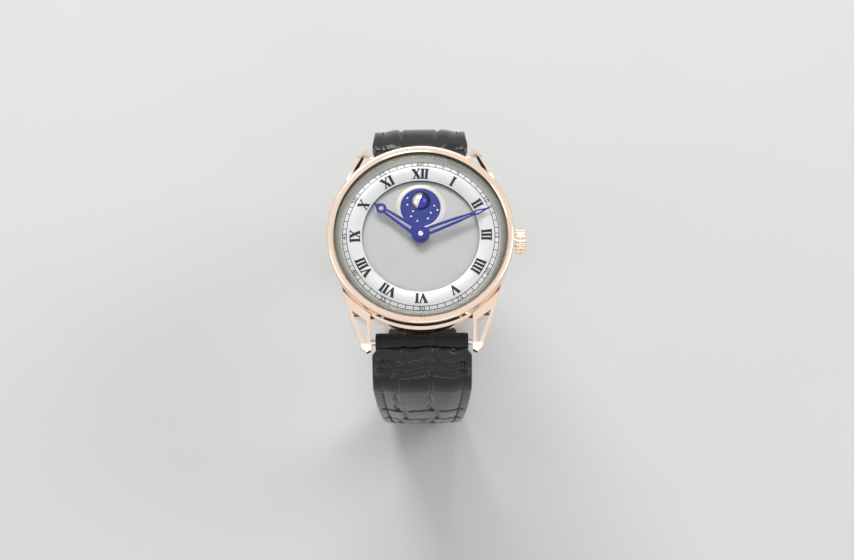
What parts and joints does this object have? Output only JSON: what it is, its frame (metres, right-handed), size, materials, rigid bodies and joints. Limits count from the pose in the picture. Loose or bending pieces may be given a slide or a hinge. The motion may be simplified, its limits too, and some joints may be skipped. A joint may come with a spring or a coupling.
{
  "type": "moon phase watch",
  "caption": "Round moon phase wristwatch with a turning moon sphere, open-worked lugs and hands, a wound movement seen through the back and an open two-piece leather strap.",
  "frame": {"origin": "on the axis of the hands, in the outer face of the back glass", "axes": "+Z out of the dial, +Y towards 12 o'clock, +X towards 3 o'clock"},
  "size_m": [0.0467, 0.068, 0.0869],
  "materials": {
    "rose_gold": "polished",
    "satin_flange": "fine grained satin",
    "sapphire": "clear polished",
    "silvered_dial": "silvered, faint sunburst",
    "blued_steel": "blued, polished",
    "night_sky": "deep blue enamel",
    "moon_silver": "polished",
    "moon_blue": "dark blue, polished",
    "brass_wheel": "gilt, circular grained",
    "steel_part": "polished steel",
    "nickel_plate": "nickel plated, striped",
    "ruby": "polished ruby",
    "spring_steel": "spring steel",
    "strap_leather": "glossy, large scales",
    "lining_leather": "smooth matt",
    "polished_steel": "polished"
  },
  "bodies": {
    "watch_head": {"case_band": "rose_gold", "bezel": "rose_gold", "crystal": "sapphire", "inner_flange": "satin_flange", "lugs_upper": "rose_gold", "lugs_lower": "rose_gold", "spring_bars": "steel_part", "case_back_ring": "rose_gold", "case_back_glass": "sapphire", "case_back_screws": "steel_part", "dial_plate": "silvered_dial", "chapter_ring": "silvered_dial", "moon_sky_disc": "night_sky", "main_plate": "nickel_plate", "barrel_bridge": "nickel_plate", "train_bridge": "nickel_plate", "balance_cock": "nickel_plate", "pallet_cock": "nickel_plate", "jewels": "ruby", "movement_screws": "steel_part", "crown_tube": "steel_part", "hairspring": "spring_steel"},
    "minute_group": {"minute_hand": "blued_steel", "hand_cap": "polished_steel", "cannon_pinion": "steel_part"},
    "hour_group": {"hour_hand": "blued_steel", "hour_wheel": "brass_wheel"},
    "minute_wheel_group": {"minute_wheel": "brass_wheel"},
    "moon_drive_group": {"moon_drive_wheel": "brass_wheel"},
    "moon_star_group": {"moon_star_wheel": "brass_wheel"},
    "moon_bevel_group": {"moon_bevel_wheel": "brass_wheel"},
    "moon_group": {"moon_light_half": "moon_silver", "moon_dark_half": "moon_blue", "moon_arbor": "steel_part"},
    "barrel_group": {"barrel_drum": "brass_wheel"},
    "centre_group": {"centre_wheel": "brass_wheel"},
    "third_group": {"third_wheel": "brass_wheel"},
    "fourth_group": {"fourth_wheel": "brass_wheel"},
    "escape_group": {"escape_wheel": "steel_part"},
    "pallet_group": {"pallet_fork": "steel_part"},
    "balance_group": {"balance_wheel": "brass_wheel"},
    "ratchet_group": {"barrel_arbor": "steel_part", "ratchet_wheel": "steel_part", "mainspring": "spring_steel"},
    "crown_wheel_group": {"crown_wheel": "steel_part"},
    "click_group": {"click": "steel_part"},
    "winding_group": {"winding_pinion": "steel_part"},
    "crown_group": {"crown": "rose_gold", "winding_stem": "steel_part"},
    "clutch_group": {"sliding_pinion": "steel_part"},
    "setting_group": {"setting_lever": "steel_part"},
    "strap_upper_group": {"strap_upper": "strap_leather", "strap_upper_lining": "lining_leather", "fixed_keeper": "strap_leather"},
    "free_keeper_group": {"free_keeper": "strap_leather"},
    "buckle_group": {"buckle_frame": "rose_gold", "buckle_bar": "steel_part"},
    "tongue_group": {"buckle_tongue": "rose_gold"},
    "strap_lower_group": {"strap_lower": "strap_leather", "strap_lower_lining": "lining_leather"}
  },
  "joints": [
    {"name": "minute_turn", "type": "hinge", "parent": "watch_head", "child": "minute_group", "pos_m": [0, 0, 0.009], "axis": [0, 0, 1], "continuous": true},
    {"name": "hour_turn", "type": "hinge", "parent": "watch_head", "child": "hour_group", "pos_m": [0, 0, 0.008], "axis": [0, 0, 1], "continuous": true},
    {"name": "minute_wheel_turn", "type": "hinge", "parent": "watch_head", "child": "minute_wheel_group", "pos_m": [0.0015, -0.0026, 0.0073], "axis": [0, 0, 1], "continuous": true},
    {"name": "moon_drive_turn", "type": "hinge", "parent": "watch_head", "child": "moon_drive_group", "pos_m": [0.00624, 0.0036, 0.0075], "axis": [0, 0, 1], "continuous": true},
    {"name": "moon_star_turn", "type": "hinge", "parent": "watch_head", "child": "moon_star_group", "pos_m": [0.00611, 0.0121, 0.0075], "axis": [0, 0, 1], "continuous": true},
    {"name": "moon_bevel_turn", "type": "hinge", "parent": "watch_head", "child": "moon_bevel_group", "pos_m": [0.0018, 0.0136, 0.007], "axis": [0, 0, 1], "continuous": true},
    {"name": "moon_turn", "type": "hinge", "parent": "watch_head", "child": "moon_group", "pos_m": [0, 0.0089, 0.00745], "axis": [0.3584, 0.9336, 0], "continuous": true},
    {"name": "fourth_turn", "type": "hinge", "parent": "watch_head", "child": "fourth_group", "pos_m": [-0.00296, -0.00598, 0.004], "axis": [0, 0, 1], "continuous": true},
    {"name": "third_turn", "type": "hinge", "parent": "watch_head", "child": "third_group", "pos_m": [0.0014, -0.00522, 0.004], "axis": [0, 0, 1], "continuous": true},
    {"name": "centre_turn", "type": "hinge", "parent": "watch_head", "child": "centre_group", "pos_m": [0, 0, 0.004], "axis": [0, 0, 1], "continuous": true},
    {"name": "barrel_turn", "type": "hinge", "parent": "watch_head", "child": "barrel_group", "pos_m": [0.00355, 0.00761, 0.004], "axis": [0, 0, 1], "continuous": true},
    {"name": "escape_turn", "type": "hinge", "parent": "watch_head", "child": "escape_group", "pos_m": [-0.00693, -0.00743, 0.004], "axis": [0, 0, 1], "continuous": true},
    {"name": "pallet_rock", "type": "hinge", "parent": "watch_head", "child": "pallet_group", "pos_m": [-0.00893, -0.00506, 0.0044], "axis": [0, 0, 1], "range_deg": [-5, 5]},
    {"name": "balance_swing", "type": "hinge", "parent": "watch_head", "child": "balance_group", "pos_m": [-0.01153, -0.00287, 0.0028], "axis": [0, 0, 1], "range_deg": [-270, 270], "deforming": ["hairspring"]},
    {"name": "crown_turn", "type": "hinge", "parent": "watch_head", "child": "winding_group", "pos_m": [0.01356, 0, 0.0042], "axis": [1, 0, 0], "continuous": true},
    {"name": "crown_pull", "type": "slide", "parent": "winding_group", "child": "crown_group", "axis": [1, 0, 0], "range_m": [0, 0.001]},
    {"name": "clutch_slide", "type": "slide", "parent": "winding_group", "child": "clutch_group", "axis": [-1, 0, 0], "range_m": [0, 0.0008]},
    {"name": "setting_lever_swing", "type": "hinge", "parent": "watch_head", "child": "setting_group", "pos_m": [0.0154, -0.0036, 0.0032], "axis": [0, 0, -1], "range_deg": [0, 16]},
    {"name": "crown_wheel_turn", "type": "hinge", "parent": "watch_head", "child": "crown_wheel_group", "pos_m": [0.00956, 0, 0.0015], "axis": [0, 0, 1], "continuous": true},
    {"name": "ratchet_turn", "type": "hinge", "parent": "watch_head", "child": "ratchet_group", "pos_m": [0.00355, 0.00761, 0.0015], "axis": [0, 0, 1], "continuous": true, "deforming": ["mainspring"]},
    {"name": "click_swing", "type": "hinge", "parent": "watch_head", "child": "click_group", "pos_m": [-0.00393, 0.00893, 0.0015], "axis": [0, 0, 1], "range_deg": [0, 12]},
    {"name": "strap_upper_swing", "type": "hinge", "parent": "watch_head", "child": "strap_upper_group", "pos_m": [0, 0.023, -0.0005], "axis": [1, 0, 0], "range_deg": [0, 70]},
    {"name": "strap_lower_swing", "type": "hinge", "parent": "watch_head", "child": "strap_lower_group", "pos_m": [0, -0.023, -0.0005], "axis": [-1, 0, 0], "range_deg": [0, 70]},
    {"name": "buckle_swing", "type": "hinge", "parent": "strap_upper_group", "child": "buckle_group", "pos_m": [0, 0.01701, -0.06276], "axis": [1, 0, 0], "range_deg": [-40, 15]},
    {"name": "tongue_swing", "type": "hinge", "parent": "buckle_group", "child": "tongue_group", "pos_m": [0, 0.01701, -0.06276], "axis": [1, 0, 0], "range_deg": [0, 60]},
    {"name": "free_keeper_slide", "type": "slide", "parent": "strap_upper_group", "child": "free_keeper_group", "axis": [0, -0.2889, -0.9574], "range_m": [-0.004, 0.004]}
  ],
  "couplings": [
    {"joint": "hour_turn", "follows": "minute_turn", "ratio": 0.083333},
    {"joint": "minute_wheel_turn", "follows": "minute_turn", "ratio": -0.33333},
    {"joint": "moon_drive_turn", "follows": "minute_turn", "ratio": -0.041667},
    {"joint": "moon_star_turn", "follows": "minute_turn", "ratio": 0.0014124},
    {"joint": "moon_bevel_turn", "follows": "minute_turn", "ratio": -0.0014124},
    {"joint": "moon_turn", "follows": "minute_turn", "ratio": 0.0014124},
    {"joint": "third_turn", "follows": "fourth_turn", "ratio": -0.13333},
    {"joint": "centre_turn", "follows": "fourth_turn", "ratio": 0.016667},
    {"joint": "barrel_turn", "follows": "fourth_turn", "ratio": -0.0027778},
    {"joint": "escape_turn", "follows": "fourth_turn", "ratio": -10},
    {"joint": "clutch_slide", "follows": "crown_pull", "ratio": 0.8},
    {"joint": "setting_lever_swing", "follows": "crown_pull", "rad_per_m": 277.78},
    {"joint": "crown_wheel_turn", "follows": "crown_turn", "ratio": 0.6},
    {"joint": "ratchet_turn", "follows": "crown_turn", "ratio": -0.42105}
  ]
}
